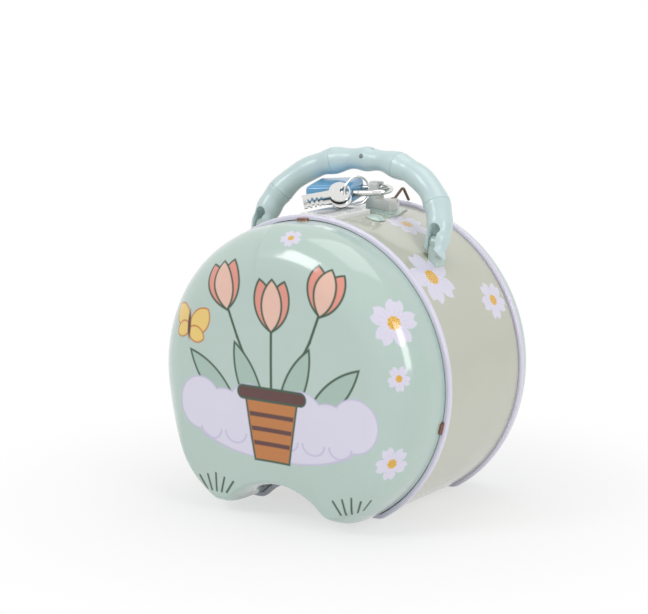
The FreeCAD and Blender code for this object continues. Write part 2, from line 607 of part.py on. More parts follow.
handle = feature("handle_form", bow)
handle.Placement = handle_place
keep("handle", handle)
pins = []
for side in (-1, 1):
    pin = doc.addObject("Part::Cylinder", "handle_pin_%s" % ("left" if side < 0 else "right"))
    pin.setExpression("Radius", "dims.handle_pin_radius")
    pin.setExpression("Height", "dims.handle_pin_length")
    pin.Placement = Placement(Vector(side * spread_x - v("handle_pin_length") / 2, axis_y, axis_z), Rotation(Z, X))
    pins.append(pin)
pair = doc.addObject("Part::Compound", "handle_pin_pair")
pair.Links = pins
keep("handle_pins", pair)


# Padlock pieces, built along the shackle with the bore middle at the origin and the near leg at minus Y
def lock_piece(name, shape):
    obj = feature(name + "_form", shape)
    obj.Placement = lock_place.multiply(shape.Placement)
    return keep(name, obj)


case_x1 = -v("case_start")
case_x0 = case_x1 - v("case_length")
mid_y = -spread / 2
bend = v("bend_start")
long_x = case_x1 - v("long_leg")
short_x = case_x1 - v("short_leg")
centre_line = [
    Part.makeLine(Vector(long_x, 0, 0), Vector(bend, 0, 0)),
    Part.Arc(Vector(bend, 0, 0), Vector(bend + spread / 2, mid_y, 0), Vector(bend, -spread, 0)).toShape(),
    Part.makeLine(Vector(bend, -spread, 0), Vector(short_x, -spread, 0)),
]
rod_wire = Part.Wire(Part.makeCircle(rod, Vector(long_x, 0, 0), X))
shackle = Part.Wire(centre_line).makePipeShell([rod_wire], True, False)
bolt = v("bolt_size")
notch_x = short_x + 2.6
notch_y = rod - spread
notch = box(notch_x - bolt / 2 - 0.15, notch_y - 0.75, -3, notch_x + bolt / 2 + 0.15, notch_y + 3, 3)
shackle = shackle.cut(notch)
lock_piece("padlock_shackle", shackle)

# Case as a padded and rounded body with its bores
case = doc.addObject("PartDesign::Body", "padlock_case_body")
sketch = case.newObject("Sketcher::SketchObject", "case_outline")
plane = [f for f in case.Origin.OriginFeatures if f.Role == "XY_Plane"][0]
sketch.AttachmentSupport = (plane, [""])
sketch.MapMode = "FlatFace"
half_w = v("case_width") / 2
ring_pts = [
    Vector(case_x0, mid_y - half_w, 0), Vector(case_x1, mid_y - half_w, 0),
    Vector(case_x1, mid_y + half_w, 0), Vector(case_x0, mid_y + half_w, 0),
]
for i in range(4):
    sketch.addGeometry(Part.LineSegment(ring_pts[i], ring_pts[(i + 1) % 4]), False)
for i in range(4):
    sketch.addConstraint(Sketcher.Constraint("Coincident", i, 2, (i + 1) % 4, 1))
for i in (0, 2):
    sketch.addConstraint(Sketcher.Constraint("Horizontal", i))
for i in (1, 3):
    sketch.addConstraint(Sketcher.Constraint("Vertical", i))
for kind, args, expr in (
    ("DistanceX", (0, 1, 0, 2, v("case_length")), "dims.case_length"),
    ("DistanceY", (1, 1, 1, 2, v("case_width")), "dims.case_width"),
    ("DistanceX", (1, 2, -1, 1, v("case_start")), "dims.case_start"),
    ("DistanceY", (1, 2, -1, 1, -(mid_y + half_w)), "dims.leg_spread / 2 - dims.case_width / 2"),
):
    index = sketch.addConstraint(Sketcher.Constraint(kind, *args))
    sketch.setExpression("Constraints[%d]" % index, expr)
pad = case.newObject("PartDesign::Pad", "case_pad")
pad.Profile = sketch
pad.setExpression("Length", "dims.case_thick")
pad.Midplane = True
doc.recompute()
edge_round = case.newObject("PartDesign::Fillet", "case_edges")
edge_round.Base = (pad, ["Edge%d" % (i + 1) for i in range(len(pad.Shape.Edges))])
edge_round.setExpression("Radius", "dims.case_round")
doc.recompute()
leg_fit = rod + v("bore_gap")
tools = [
    Part.makeCylinder(leg_fit, v("long_leg") + v("leg_room") + 2, Vector(case_x1 + 2, 0, 0), X * -1),
    Part.makeCylinder(leg_fit, v("short_leg") + v("leg_room") + 2, Vector(case_x1 + 2, -spread, 0), X * -1),
    Part.makeCylinder(v("plug_radius") + v("running_fit"), v("plug_length") + 1.3, Vector(case_x0 - 1, mid_y, 0), X),
    box(notch_x - bolt / 2 - 0.1, -spread + 0.6, -bolt / 2 - 0.1, notch_x + bolt / 2 + 0.1, mid_y + 4, bolt / 2 + 0.1),
]
case_cut = doc.addObject("Part::Cut", "padlock_case_form")
tool_obj = feature("padlock_case_bores", tools[0].fuse(tools[1:]))
case_cut.Base = case
case_cut.Tool = tool_obj
case_cut.Placement = lock_place
keep("padlock_case", case_cut)

# Key plug with its slot, spring bolt and the two springs inside the case
plug_x0 = case_x0 + 0.2
plug = Part.makeCylinder(v("plug_radius"), v("plug_length") - 0.2, Vector(plug_x0, mid_y, 0), X)
plug = plug.cut(box(plug_x0 - 1, mid_y - 2.2, -v("key_slot") / 2, plug_x0 + 7, mid_y + 2.2, v("key_slot") / 2))
lock_piece("lock_plug", plug)
bolt_y0 = -spread + rod + 0.3
bolt_body = box(notch_x - bolt / 2, bolt_y0, -bolt / 2, notch_x + bolt / 2, bolt_y0 + 4.4, bolt / 2)
lock_piece("lock_bolt", bolt_body)


def coil(length, radius, wire):
    path = Part.makeHelix(length / 5, length, radius)
    ring = Part.Wire(Part.makeCircle(wire, Vector(radius, 0, 0), Y))
    return Part.Wire(path).makePipeShell([ring], True, True)


spring = coil(mid_y + 4 - bolt_y0 - 4.4 - 2 * v("spring_wire") - 0.1, v("spring_radius") - 0.2, v("spring_wire"))
spring.Placement = Placement(Vector(notch_x, bolt_y0 + 4.4 + v("spring_wire") + 0.05, 0), Rotation(Z, Y))
lock_piece("bolt_spring", spring)

# Key ring round the near leg, and two keys hanging on it
leg_point = lock_place.multVec(Vector(-2.2, -spread, 0))
ring_way = Vector(0.893, -0.449, 0)
ring_side = Vector(0.449, 0.893, 0)
ring_out = half_w - spread / 2 - v("ring_back")
ring_radius = ring_out + v("ring_slack")
ring_mid = leg_point + Z * 1.4 - ring_side * ring_out
ring_obj = doc.addObject("Part::Torus", "key_ring_form")
ring_obj.setExpression(
    "Radius1", "dims.case_width / 2 - dims.leg_spread / 2 - dims.ring_back + dims.ring_slack")
ring_obj.setExpression("Radius2", "dims.ring_wire")
ring_obj.Placement = Placement(ring_mid, Rotation(Z, ring_way))
keep("key_ring", ring_obj)


def circle_sketch(body, name, x, radius, expr):
    sk = body.newObject("Sketcher::SketchObject", name)
    sk.AttachmentSupport = ([f for f in body.Origin.OriginFeatures if f.Role == "XY_Plane"][0], [""])
    sk.MapMode = "FlatFace"
    sk.addGeometry(Part.Circle(Vector(x, 0, 0), Z, radius), False)
    index = sk.addConstraint(Sketcher.Constraint("Radius", 0, radius))
    sk.setExpression("Constraints[%d]" % index, expr)
    return sk


def key(name, hole_at, blade_way, face_way):
    body = doc.addObject("PartDesign::Body", name + "_body")
    bow_sketch = circle_sketch(body, name + "_bow", 0, v("key_bow"), "dims.key_bow")
    bow_sketch.addConstraint(Sketcher.Constraint("Coincident", 0, 3, -1, 1))
    bow_pad = body.newObject("PartDesign::Pad", name + "_bow_pad")
    bow_pad.Profile = bow_sketch
    bow_pad.setExpression("Length", "dims.key_gauge")
    bow_pad.Midplane = True
    hole_sketch = circle_sketch(body, name + "_hole", -v("key_hole_out"), v("key_hole"), "dims.key_hole")
    hole_sketch.addConstraint(Sketcher.Constraint("PointOnObject", 0, 3, -1))
    index = hole_sketch.addConstraint(Sketcher.Constraint("DistanceX", 0, 3, -1, 1, v("key_hole_out")))
    hole_sketch.setExpression("Constraints[%d]" % index, "dims.key_hole_out")
    doc.recompute()
    hole = body.newObject("PartDesign::Pocket", name + "_hole_cut")
    hole.Profile = hole_sketch
    hole.Type = 1
    hole.Midplane = True
    doc.recompute()
    reach = v("key_bow") + v("key_blade")
    wide_b, gauge = v("key_blade_width") / 2, v("key_gauge") / 2
    blade = box(v("key_bow") - 1, -wide_b, -gauge, reach, wide_b, gauge)
    for i in range(4):
        cut_x = v("key_bow") + 3.5 + 2.2 * i
        blade = blade.cut(box(cut_x, wide_b - 0.6 - 0.25 * (i % 3), -2, cut_x + 1.2, 3, 2))
    blade_obj = feature(name + "_blade", blade)
    joined = doc.addObject("Part::Fuse", name + "_form")
    joined.Base = body
    joined.Tool = blade_obj
    up_way = face_way - blade_way * face_way.dot(blade_way)
    up_way.normalize()
    turned = Rotation(blade_way, up_way.cross(blade_way), up_way, "XZY")
    joined.Placement = Placement(hole_at + blade_way * v("key_hole_out"), turned)
    return keep(name, joined)


def on_ring(angle):
    a = math.radians(angle)
    return ring_mid + ring_side * (ring_radius * math.cos(a)) + Z * (ring_radius * math.sin(a))


view_way = Vector(0.559, -0.829, 0)
level = Vector(-0.829, -0.559, 0)
lean_face = view_way * 0.8 + Z * 0.6
climb = lean_face.cross(level)
key("key_front", on_ring(206), (level * 0.97 + climb * 0.22).normalize(), lean_face)
key("key_back", on_ring(178), (level * 0.97 + climb * 0.2).normalize(), lean_face)

doc.recompute()
bad = []
for obj in doc.Objects:
    if "Invalid" in obj.State or "Error" in obj.State:
        bad.append("%s state %s" % (obj.Name, obj.State))
for name, obj in nodes.items():
    shape = obj.Shape
    if shape.isNull() or not shape.isValid() or not shape.Solids:
        bad.append("%s has no valid solid" % name)
    else:
        b = shape.optimalBoundingBox(False)
        print("%-18s solids %d volume %9.1f  x %.1f %.1f y %.1f %.1f z %.1f %.1f" % (
            name, len(shape.Solids), shape.Volume, b.XMin, b.XMax, b.YMin, b.YMax, b.ZMin, b.ZMax))
if bad:
    raise RuntimeError("; ".join(bad))
os.makedirs("parts", exist_ok=True)
for name, obj in nodes.items():
    obj.Shape.exportStep("parts/%s.step" % name)
print("Y_FRONT %.4f Y_REAR %.4f Y_MID %.4f CENTRE %.4f" % (Y_FRONT, Y_REAR, Y_MID, CENTRE))
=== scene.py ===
# %% [markdown]
# A tin money box, dressed for a studio picture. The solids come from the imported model,
# already in place and in metres, so every step here is about finish: the printed enamel on
# the tin, the moulded plastics, the bright padlock, and the light that shows them.

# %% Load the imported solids
import math

import bpy
import numpy as np
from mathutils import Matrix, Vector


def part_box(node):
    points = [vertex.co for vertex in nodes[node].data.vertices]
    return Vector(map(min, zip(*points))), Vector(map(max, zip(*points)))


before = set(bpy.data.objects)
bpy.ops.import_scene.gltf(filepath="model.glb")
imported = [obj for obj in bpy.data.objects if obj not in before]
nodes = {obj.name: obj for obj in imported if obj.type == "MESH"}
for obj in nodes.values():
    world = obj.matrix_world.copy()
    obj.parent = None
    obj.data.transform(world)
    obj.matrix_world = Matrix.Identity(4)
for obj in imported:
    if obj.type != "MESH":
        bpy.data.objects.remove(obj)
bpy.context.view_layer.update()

# %% [markdown]
# The box is drawn round one centre: the middle of the drum. That point and the drum's radius
# are the part's own sizes. Some depths that the print needs, such as where the front rim
# starts, are read from the solids, so that the print follows them.

# %% Sizes read from the solids
band_low, band_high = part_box("drum_band")
panel_low, panel_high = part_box("front_panel")
cover_low, cover_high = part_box("rear_cover")
DRUM_MIDDLE = (0.0, 0.00724, 0.0663)
DRUM_RADIUS = 0.075
print("band y", round(band_low.y, 4), round(band_high.y, 4))
print("panel y", round(panel_low.y, 4), round(panel_high.y, 4))
print("cover y", round(cover_low.y, 4), round(cover_high.y, 4))

# %% [markdown]
# The colours are written as eye colours, from 0 to 255, and turned into the linear values
# that a shader works in. The inks of the print are kept together here, as on a printer's
# list, and each of the smaller finishes names its own ink where it is made.

# %% Ink list


def ink(red, green, blue):
    """Linear colour of an eye colour given from 0 to 255 (the sRGB curve undone)."""
    c = np.array([red, green, blue]) / 255.0
    low = c / 12.92
    high = ((c + 0.055) / 1.055) ** 2.4
    return tuple(np.where(c <= 0.04045, low, high)) + (1.0,)


MINT = ink(190, 211, 203)
MINT_DEEP = ink(170, 196, 185)
LAVENDER = ink(226, 222, 240)
SHADED_LAVENDER = ink(204, 198, 226)
GOLD = ink(236, 188, 62)
RUST = ink(196, 120, 50)
SALMON = ink(233, 152, 136)
BLUSH = ink(240, 196, 178)
LEAF_LINE = ink(42, 78, 54)
BROWN = ink(86, 40, 34)
YELLOW = ink(243, 208, 116)
# The dark gap line is no ink of the print: it is painted shadow for the gaps beside the rolled
# rims.
PAINTED_GAP_SHADOW = ink(86, 100, 98)
INNER_LACQUER = ink(214, 212, 204)
print("inks ready, mint is", [round(c, 3) for c in MINT])

# %% [markdown]
# A print on tin could be a picture file. Here it is worked out instead: each shape is a
# small sum that says how far a point is inside it. The class below turns ordinary Python
# arithmetic into Math nodes, so that a petal can be written as one line of algebra.

# %% Arithmetic that writes Math nodes


class Field:
    """A number that varies over the surface, held as a node socket."""

    def __init__(self, tree, socket):
        self.tree = tree
        self.socket = socket

    def math(self, operation, *others):
        node = self.tree.nodes.new("ShaderNodeMath")
        node.operation = operation
        for slot, value in enumerate((self,) + others):
            if isinstance(value, Field):
                self.tree.links.new(value.socket, node.inputs[slot])
            else:
                node.inputs[slot].default_value = value
        return Field(self.tree, node.outputs[0])

    def __add__(self, other):
        return self.math("ADD", other)

    def __sub__(self, other):
        return self.math("SUBTRACT", other)

    def __mul__(self, other):
        return self.math("MULTIPLY", other)

    def __truediv__(self, other):
        return self.math("DIVIDE", other)

    def below(self, other):
        """The smaller of the two: where both shapes are."""
        return self.math("MINIMUM", other)

    def above(self, other):
        """The larger of the two: where either shape is."""
        return self.math("MAXIMUM", other)

    def far(self, other):
        """Length of the vector (self, other)."""
        return (self * self + other * other).math("SQRT")

    def size(self):
        return self.math("ABSOLUTE")

    def inside(self, soft=0.0009):
        """1 inside the shape, 0 outside, with an edge as soft as a printed dot."""
        node = self.tree.nodes.new("ShaderNodeMapRange")
        node.interpolation_type = "SMOOTHSTEP"
        self.tree.links.new(self.socket, node.inputs["Value"])
        node.inputs["From Min"].default_value = -soft / 2
        node.inputs["From Max"].default_value = soft / 2
        return Field(self.tree, node.outputs["Result"])


print("field arithmetic ready")

# %% [markdown]
# Every finish starts from the same gloss shader. Real enamel and moulded plastic are never
# one even colour, so a slow noise shifts the tone a little and a fine one breaks up the
# gloss. The helper builds both and hands back the material for the print to be added.

# %% One helper for every finish
COAT_ROUGHNESS = 0.06
PATCH_SCALE, PATCH_DETAIL, PATCH_START = 28.0, 3.0, 0.35
GRAIN_DETAIL = 2.0
ROUGH_LOW, ROUGH_HIGH = 0.8, 1.25
RIPPLE_HEIGHT = 0.0004


def finish(name, colour, rough, metal=0.0, coat=0.0, tone=0.06, grain=900.0, ripple=0.02):
    """A gloss shader with a slow change of tone, broken-up roughness and a fine ripple."""
    material = bpy.data.materials.new(name)
    material.use_nodes = True
    tree = material.node_tree
    shader = tree.nodes["Principled BSDF"]
    shader.inputs["Metallic"].default_value = metal
    shader.inputs["Coat Weight"].default_value = coat
    shader.inputs["Coat Roughness"].default_value = COAT_ROUGHNESS
    place = tree.nodes.new("ShaderNodeTexCoord")
    slow = tree.nodes.new("ShaderNodeTexNoise")
    slow.inputs["Scale"].default_value = PATCH_SCALE
    slow.inputs["Detail"].default_value = PATCH_DETAIL
    fine = tree.nodes.new("ShaderNodeTexNoise")
    fine.inputs["Scale"].default_value = grain
    fine.inputs["Detail"].default_value = GRAIN_DETAIL
    for node in (slow, fine):
        tree.links.new(place.outputs["Object"], node.inputs["Vector"])
    shade = tree.nodes.new("ShaderNodeMix")
    shade.data_type = "RGBA"
    shade.inputs["A"].default_value = colour
    shade.inputs["B"].default_value = tuple(c * (1 - 3 * tone) for c in colour[:3]) + (1.0,)
    lift = (Field(tree, slow.outputs["Fac"]) - PATCH_START).above(0.0)
    tree.links.new(lift.socket, shade.inputs["Factor"])
    spread = tree.nodes.new("ShaderNodeMapRange")
    spread.inputs["To Min"].default_value = rough * ROUGH_LOW
    spread.inputs["To Max"].default_value = rough * ROUGH_HIGH
    tree.links.new(fine.outputs["Fac"], spread.inputs["Value"])
    tree.links.new(spread.outputs["Result"], shader.inputs["Roughness"])
    bump = tree.nodes.new("ShaderNodeBump")
    bump.inputs["Strength"].default_value = ripple
    bump.inputs["Distance"].default_value = RIPPLE_HEIGHT
    tree.links.new(fine.outputs["Fac"], bump.inputs["Height"])
    tree.links.new(bump.outputs["Normal"], shader.inputs["Normal"])
    tree.links.new(shade.outputs["Result"], shader.inputs["Base Color"])
    return material


print("finish helper ready")

# %% [markdown]
# A print needs to know where on the box a point lies and which way its face looks. Then ink
# is laid on ink, as a press does, each layer over what is already there. The inside of a
# printed box stays plain, so faces that look towards the middle of the drum get a lacquer.

# %% Places, inks and the plain inside


def axes(material, coordinates="Object"):
    """Fields of X, Y and Z of the surface point, in metres, or of its normal."""
    tree = material.node_tree
    place = tree.nodes.new("ShaderNodeTexCoord")
    split = tree.nodes.new("ShaderNodeSeparateXYZ")
    tree.links.new(place.outputs[coordinates], split.inputs[0])
    return [Field(tree, split.outputs[k]) for k in range(3)]


def print_over(material, mask, colour):
    """Lays one ink over what the base colour already is, where the mask is 1."""
    tree = material.node_tree
    target = tree.nodes["Principled BSDF"].inputs["Base Color"]
    under = target.links[0].from_socket
    layer = tree.nodes.new("ShaderNodeMix")
    layer.data_type = "RGBA"
    tree.links.new(mask.socket, layer.inputs["Factor"])
    tree.links.new(under, layer.inputs["A"])
    layer.inputs["B"].default_value = colour
    tree.links.new(layer.outputs["Result"], target)


def plain_inside(material, colour, turned=-0.5):
    """Lays a plain lacquer on faces that look towards the middle of the drum.

    The test is the cosine between the face's normal and the way out from the middle: a face
    is inside where that is less than turned, so the flanks of the rolled rims stay printed.
    """
    facing = axes(material, "Normal")
    out = [field - DRUM_MIDDLE[k] for k, field in enumerate(axes(material))]
    reach = out[0].far(out[1]).far(out[2])
    along = facing[0] * out[0] + facing[1] * out[1] + facing[2] * out[2]
    print_over(material, (along / reach * -1.0 + turned).inside(0.1), colour)


def dress(material, *names):
    """Gives the named solids one material."""
    for name in names:
        mesh = nodes[name].data
        mesh.materials.clear()
        mesh.materials.append(material)
    print(material.name, "on", ", ".join(names))


print("inside lacquer is", [round(c, 3) for c in INNER_LACQUER])

# %% [markdown]
# The blossoms are a common ornament: five round petals, each with a small notch, and a
# gold middle with darker dots. In polar form a petal is a bump of the radius, so one cosine
# with five waves draws all of them at once.

# %% Blossom


def blossom(material, across, upward, radius, turn):
    """Five petals: the edge radius is a fifth-wave cosine with a notch at each crest.

    Veins are narrow rays of a fifteenth-wave cosine, and the gold middle is a wavy disc.
    """
    reach = across.far(upward)
    angle = upward.math("ARCTAN2", across) + turn
    wave = (angle * 2.5).math("COSINE").size()
    crest = (wave - 0.9).above(0.0)
    edge = (wave.math("POWER", 0.6) * 0.52 + 0.5 - crest * 1.6) * radius
    print_over(material, (edge - reach).inside(), LAVENDER)
    ray = ((angle * 15.0).math("COSINE") - 0.86) * radius
    vein = ray.below(edge * 0.72 - reach)
    print_over(material, vein.inside(0.003) * 0.35, SHADED_LAVENDER)
    ring = (angle * 9.0).math("SINE") * (radius * 0.02) + radius * 0.27
    print_over(material, (ring - reach).inside(), GOLD)
    dots = (angle * 7.0).math("COSINE") * (reach * (30.0 / radius)).math("COSINE")
    speck = ((dots - 0.45) * (radius * 0.1)).below(reach * -1.0 + radius * 0.22)
    print_over(material, speck.inside(), RUST)


print("blossom drawing ready")

# %% [markdown]
# The front dome is pressed tin, printed flat and then drawn. Looking straight at the face,
# a print would smear down the side wall, so the pattern is spread with depth: the further
# back a point lies, the further out on the flat sheet it came from.

# %% Ground of the front print
SPREAD = 0.75
front = finish("printed_front", MINT, 0.16, coat=0.6, tone=0.02, grain=500.0, ripple=0.008)
face_x, face_y, face_z = axes(front)
face_z = face_z - DRUM_MIDDLE[2]
face_r = face_x.far(face_z)
grow = (face_r + (face_y - panel_low.y) * SPREAD) / face_r
fx, fz = face_x * grow, face_z * grow


def on_sheet(x, y, z):
    """Where a point of the dome, in millimetres, lies on the flat printed sheet."""
    across, upward = x / 1000.0, z / 1000.0 - DRUM_MIDDLE[2]
    reach = math.hypot(across, upward)
    share = (reach + (y / 1000.0 - panel_low.y) * SPREAD) / reach
    return across * share, upward * share


deeper = (fx.far(fz) - 0.09).inside(0.06) * 0.5
print_over(front, deeper, MINT_DEEP)
print("front sheet spreads by", SPREAD)

# %% [markdown]
# The picture in the middle is a plain garden design: tulips in a flowerpot, a pale scalloped
# bank behind the pot and a butterfly to the left. A petal or leaf is the space that two discs
# share, which gives the pointed ends that a brush makes.

# %% Shapes of the garden design


def lens(across, upward, middle, length, width, lean):
    """Space shared by two discs, as a pointed leaf turned by lean degrees from upright."""
    a = math.radians(lean)
    dx, dz = across - middle[0], upward - middle[1]
    along = dx * math.sin(a) + dz * math.cos(a)
    aside = dx * math.cos(a) - dz * math.sin(a)
    half_l, half_w = length / 2, width / 2
    radius = (half_l ** 2 + half_w ** 2) / (2 * half_w)
    off = radius - half_w
    left = (aside + off).far(along) * -1.0 + radius
    right = (aside - off).far(along) * -1.0 + radius
    return left.below(right)


def oval(across, upward, middle, wide, tall):
    """Ellipse: positive inside, scaled so that the edge stays about even."""
    dx, dz = (across - middle[0]) * (1 / wide), (upward - middle[1]) * (1 / tall)
    return (dx.far(dz) * -1.0 + 1.0) * min(wide, tall)


def stroke(across, upward, start, end, thick):
    """Round-ended line between two points."""
    vx, vz = end[0] - start[0], end[1] - start[1]
    dx, dz = across - start[0], upward - start[1]
    share = (dx * vx + dz * vz) * (1 / (vx * vx + vz * vz))
    share = share.above(0.0).below(1.0)
    return (dx - share * vx).far(dz - share * vz) * -1.0 + thick / 2


def outlined(material, shape, colour, line=0.0011):
    """A filled shape with a dark green line round it."""
    print_over(material, (shape + line).inside(), LEAF_LINE)
    print_over(material, shape.inside(), colour)


print("garden shapes ready")

# %% [markdown]
# Stems are round-ended strokes of one width, as a lining brush draws them. They come before
# the petals, because ink that is printed later covers what lies under it.

# %% Stems and leaves
STEM_WIDTH = 0.0014
for start, end in (
    ((0.000, -0.010), (0.000, 0.030)), ((-0.004, -0.010), (-0.020, 0.022)),
    ((0.004, -0.010), (0.022, 0.024)), ((-0.020, 0.022), (-0.027, 0.038)),
    ((0.022, 0.024), (0.028, 0.040)),
):
    print_over(front, stroke(fx, fz, start, end, STEM_WIDTH).inside(), LEAF_LINE)
for middle, length, width, lean in (
    ((-0.013, 0.000), 0.040, 0.0105, -24), ((0.013, 0.001), 0.040, 0.0105, 24),
    ((-0.034, -0.002), 0.040, 0.0105, -46), ((0.034, -0.001), 0.040, 0.0105, 46),
):
    outlined(front, lens(fx, fz, middle, length, width, lean), MINT_DEEP)
print("stems and leaves printed")

# %% [markdown]
# A tulip is three petals: two lean out at the sides and a paler one stands in front of them.
# The same lens shape serves for all, turned about the middle of the flower.

# %% Tulips
PETAL_LENGTH, PETAL_WIDTH, PETAL_SHIFT, PETAL_TURN = 0.024, 0.0105, 0.0104, 0.7
for cx, cz, lean in ((-0.029, 0.047, -12), (0.000, 0.039, 0), (0.030, 0.049, 12)):
    side = math.radians(lean)
    for swing, colour in ((-22, SALMON), (22, SALMON), (0, BLUSH)):
        shift = PETAL_SHIFT * math.sin(math.radians(swing))
        spot = (cx + shift * math.cos(side), cz - shift * math.sin(side))
        petal = lens(fx, fz, spot, PETAL_LENGTH, PETAL_WIDTH, lean + swing * PETAL_TURN)
        outlined(front, petal, colour)
print("tulips printed")

# %% [markdown]
# The bank is one wide oval with seven round puffs along its top. Taking the larger of the
# shapes joins them without a seam, and half-ring curls in a deeper tone give it some body.

# %% Scalloped bank
PUFF_RADIUS, PUFF_PITCH, CURL_LEVEL = 0.0125, 0.015, -0.0245
bank = oval(fx, fz, (0.002, -0.020), 0.047, 0.0155)
for step in range(7):
    middle = (-0.043 + PUFF_PITCH * step, -0.013 - 0.004 * (step % 2))
    bank = bank.above(oval(fx, fz, middle, PUFF_RADIUS, PUFF_RADIUS))
print_over(front, (bank + 0.0007).inside(), SHADED_LAVENDER)
print_over(front, bank.inside(), LAVENDER)
for step in range(6):
    curl = oval(fx, fz, (-0.036 + PUFF_PITCH * step, CURL_LEVEL), 0.0062, 0.0052)
    curve = (curl.size() * -1.0 + 0.0004).below(fz * -1.0 + CURL_LEVEL)
    print_over(front, curve.inside(), SHADED_LAVENDER)
print("bank printed")

# %% [markdown]
# The pot narrows to its foot, so its half width grows with height. It is printed over the
# bank, with three bands and a thick rim in brown.

# %% Flowerpot
POT_TOP, POT_FOOT = -0.004, -0.036
pot_half = (fz - POT_FOOT) * 0.16 + 0.0095
pot = (pot_half - fx.size()).below(fz * -1.0 + POT_TOP).below(fz - POT_FOOT)
outlined(front, pot, RUST)
for level in (-0.014, -0.021, -0.028):
    stripe = ((fz - level).size() * -1.0 + 0.0011).below(pot - 0.0004)
    print_over(front, stripe.inside(), BROWN)
outlined(front, stroke(fx, fz, (-0.0165, POT_TOP), (0.0165, POT_TOP), 0.0050), BROWN)
print("flowerpot from", POT_FOOT, "to", POT_TOP)

# %% [markdown]
# Four wings make the butterfly, each a leaf shape in yellow over a rust edge. Tufts of grass
# stand on the two feet, so their roots are placed on the dome and looked up on the sheet.

# %% Butterfly and grass
WING_SHIFT = (-0.018, 0.012)
for middle, length, width, lean in (
    ((-0.0385, 0.0175), 0.016, 0.0100, -50), ((-0.0255, 0.0150), 0.016, 0.0100, 40),
    ((-0.0370, 0.0105), 0.010, 0.0070, -115), ((-0.0280, 0.0085), 0.010, 0.0070, 110),
):
    spot = (middle[0] + WING_SHIFT[0], middle[1] + WING_SHIFT[1])
    wing = lens(fx, fz, spot, length, width, lean)
    print_over(front, (wing + 0.0008).inside(), RUST)
    print_over(front, wing.inside(), YELLOW)
print_over(front, oval(fx, fz, (-0.0505, 0.0250), 0.0011, 0.0068).inside(), BROWN)
for root in (on_sheet(-33.0, -57.0, 12.0), on_sheet(43.0, -56.0, 12.0)):
    for blade in (-2, -1, 0, 1, 2):
        foot = (root[0] + 0.003 * blade, root[1])
        tip = (root[0] + 0.0052 * blade, root[1] + 0.0090 - 0.0014 * abs(blade))
        print_over(front, stroke(fx, fz, foot, tip, 0.0011).inside(), LEAF_LINE)
print("butterfly and grass printed")

# %% [markdown]
# Loose blossoms fill the edge of the front. Each is given by a point on the dome, in
# millimetres, and a radius and turn of its own, so that no two look alike.

# %% Blossoms on the front
for x, y, z, radius, turn in (
    (4.7, -50.0, 135.7, 0.0064, 0.3), (60.8, -49.0, 101.8, 0.0135, 0.9),
    (66.1, -52.8, 77.3, 0.0068, 0.2), (62.7, -53.0, 37.2, 0.0095, 0.6),
    (-70.0, -44.0, 88.0, 0.0115, 0.1), (-67.0, -46.0, 40.0, 0.0085, 0.7),
):
    cx, cz = on_sheet(x, y, z)
    blossom(front, fx - cx, fz - cz, radius, turn)
plain_inside(front, INNER_LACQUER)
dress(front, "front_panel")
print("front print nodes", len(front.node_tree.nodes))

# %% [markdown]
# The band is a greyer mint, with a pale rolled rim at the front and a dark shadow line
# where the panel is folded into it. Its blossoms lie on the curved side, so they are drawn
# on an unrolled strip: one way is the arc length round the drum, the other is the depth.

# %% Band
BAND_INK = ink(197, 199, 183)
band = finish("printed_band", BAND_INK, 0.17, coat=0.6, tone=0.025, grain=500.0, ripple=0.008)
bx, by, bz = axes(band)
bz = bz - DRUM_MIDDLE[2]
arc = bx.math("ARCTAN2", bz) * DRUM_RADIUS
for cx, cy, cz, radius, turn in (
    (55.8, -8.6, 50.2, 0.0150, 0.5), (66.6, 30.0, 34.5, 0.0100, 0.2),
    (27.2, 14.4, 69.9, 0.0110, 0.8), (-55.8, 20.0, 50.2, 0.0150, 0.1),
    (-70.0, -4.0, 20.0, 0.0090, 0.5), (-64.0, 26.0, -32.0, 0.0120, 0.9),
):
    blossom(band, arc - DRUM_RADIUS * math.atan2(cx, cz), by - cy / 1000.0, radius, turn)
FRONT_RIM = 0.0034
front_rim = by * -1.0 + (band_low.y + FRONT_RIM)
# The dark line next to the front rim is painted shadow: the shade in the gap where the panel
# is folded into the band.
print_over(band, (front_rim + 0.0006).inside(), PAINTED_GAP_SHADOW)
print_over(band, front_rim.inside(), LAVENDER)
plain_inside(band, INNER_LACQUER)
dress(band, "drum_band")

# %% [markdown]
# The cover is a second dome that closes the back. It carries blossoms on its flat middle,
# drawn straight through from behind, and a pale rolled rim like the one at the front.

# %% Rear cover
RIM_START, COVER_RIM = 0.0407, 0.0036
cover = finish("printed_cover", MINT, 0.17, coat=0.6, tone=0.025, grain=500.0, ripple=0.008)
rx, ry, rz = axes(cover)
rz = rz - DRUM_MIDDLE[2]
for cx, cz, radius, turn in (
    (0.0, 0.034, 0.0150, 0.4), (-0.038, 0.0, 0.0120, 0.1), (0.036, -0.012, 0.0140, 0.8),
    (0.0, -0.030, 0.0090, 0.2), (0.040, 0.034, 0.0080, 0.6), (-0.034, 0.040, 0.0070, 0.3),
):
    blossom(cover, rx - cx, rz - cz, radius, turn)
rear_rim = ry * -1.0 + (RIM_START + COVER_RIM)
# The dark line next to the rear rim is painted shadow: the shade in the gap where the cover's
# rim sits over the band.
print_over(cover, (rear_rim + 0.0005).inside(), PAINTED_GAP_SHADOW)
print_over(cover, rear_rim.inside(), LAVENDER)
plain_inside(cover, INNER_LACQUER)
dress(cover, "rear_cover")
